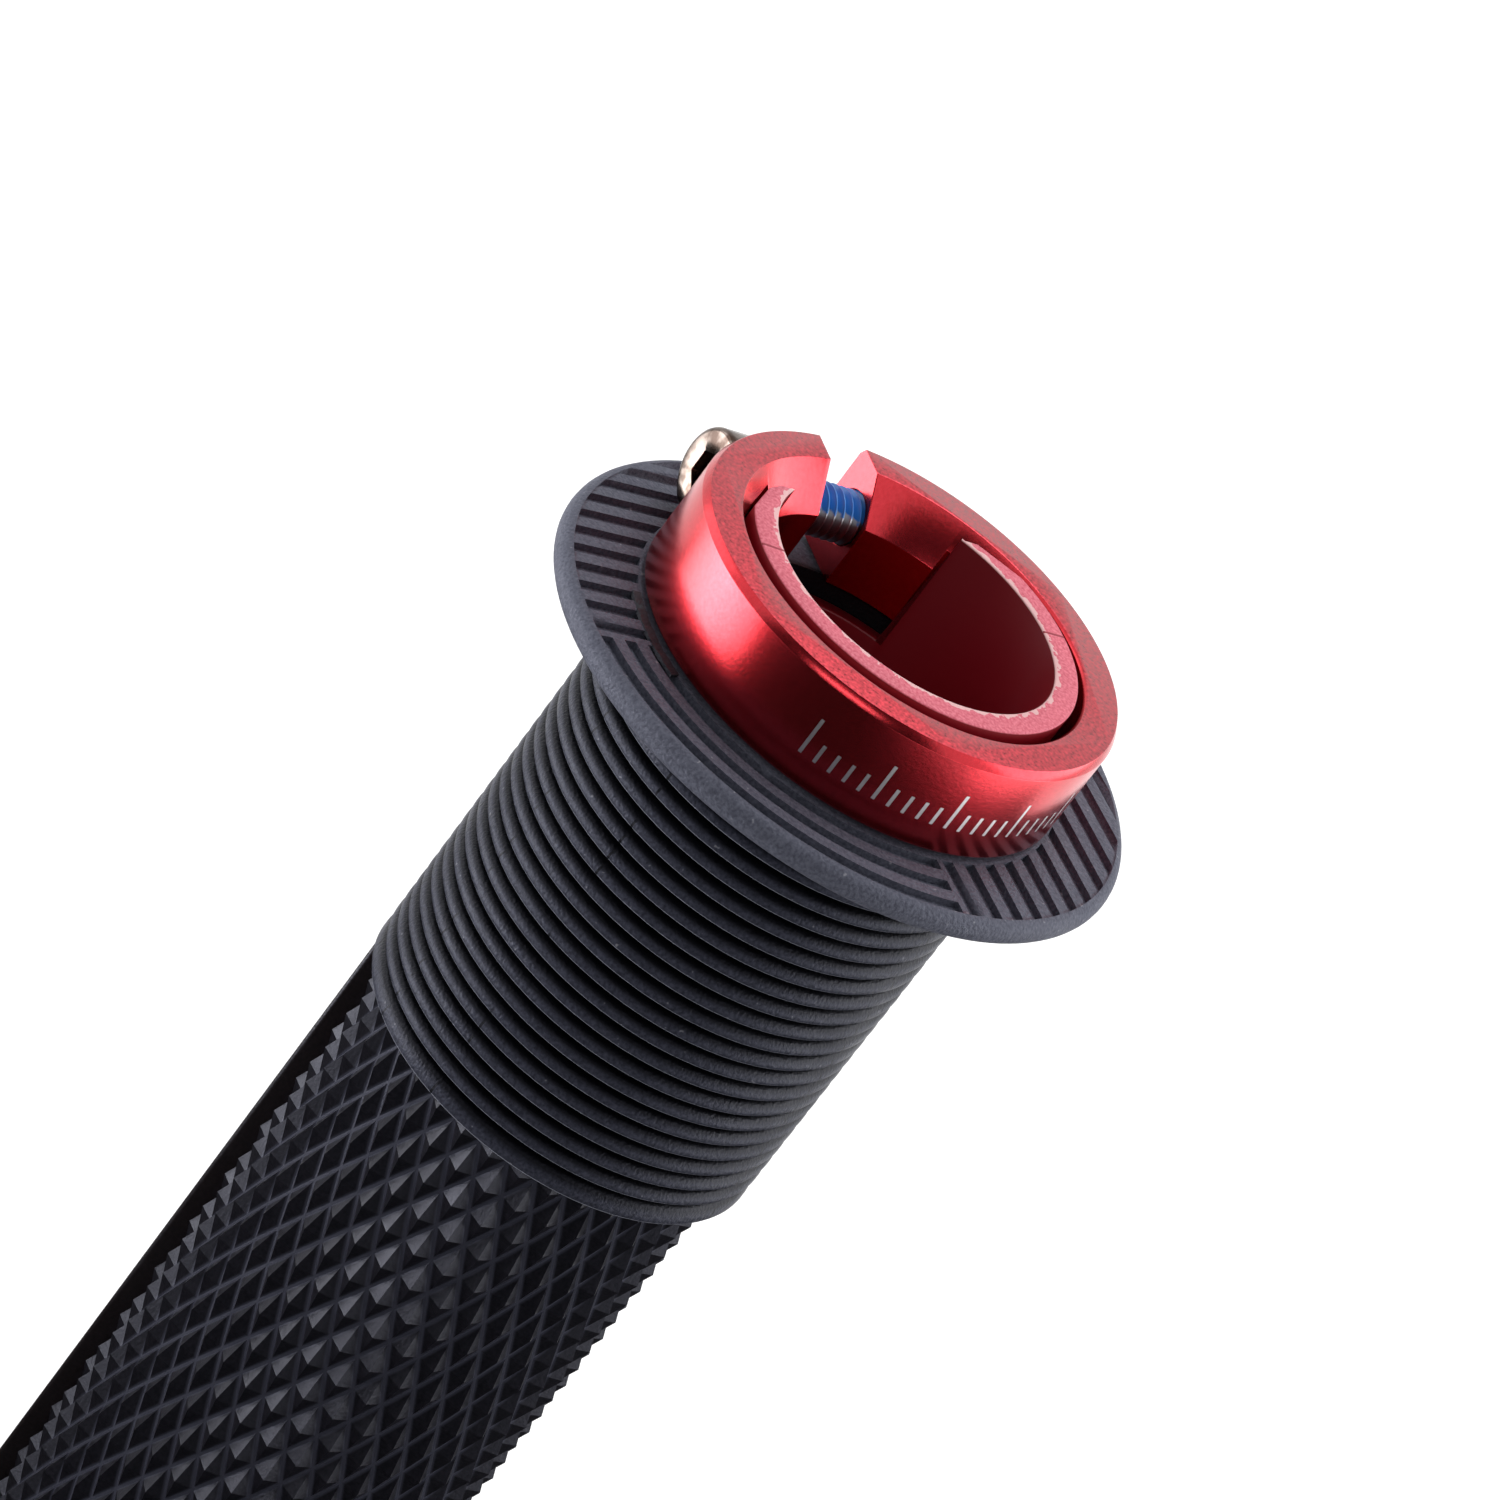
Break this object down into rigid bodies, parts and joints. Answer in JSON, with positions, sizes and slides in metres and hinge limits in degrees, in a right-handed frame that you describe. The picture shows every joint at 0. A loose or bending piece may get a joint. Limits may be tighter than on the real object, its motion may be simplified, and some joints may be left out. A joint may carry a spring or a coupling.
{
  "type": "handlebar grip",
  "caption": "Flanged lock-on handlebar grip: a ribbed and knurled rubber sleeve on a plastic core tube, with a split clamp collar and its bolt at the inner end.",
  "frame": {"origin": "centre of the outboard end face, on the bar's axis, which is the plane that the grip stands on", "axes": "+Z along the handlebar from the outboard end towards the clamp collar; +X through the middle of the flange's arc grooves, on the side that the picture shows; the collar's split lies 220.6 degrees from +X about +Z"},
  "size_m": [0.0458, 0.0458, 0.135],
  "materials": {
    "sleeve_rubber": "dark grey thermoplastic rubber, fine matt moulded surface",
    "core_plastic": "moulded red hard plastic, half gloss",
    "collar_aluminium": "turned aluminium, red anodised, satin",
    "bolt_steel": "bright plated steel with a patch of blue thread lock"
  },
  "bodies": {
    "root": {"grip_sleeve": "sleeve_rubber", "core_tube": "core_plastic", "clamp_collar": "collar_aluminium", "clamp_bolt": "bolt_steel"}
  },
  "joints": []
}
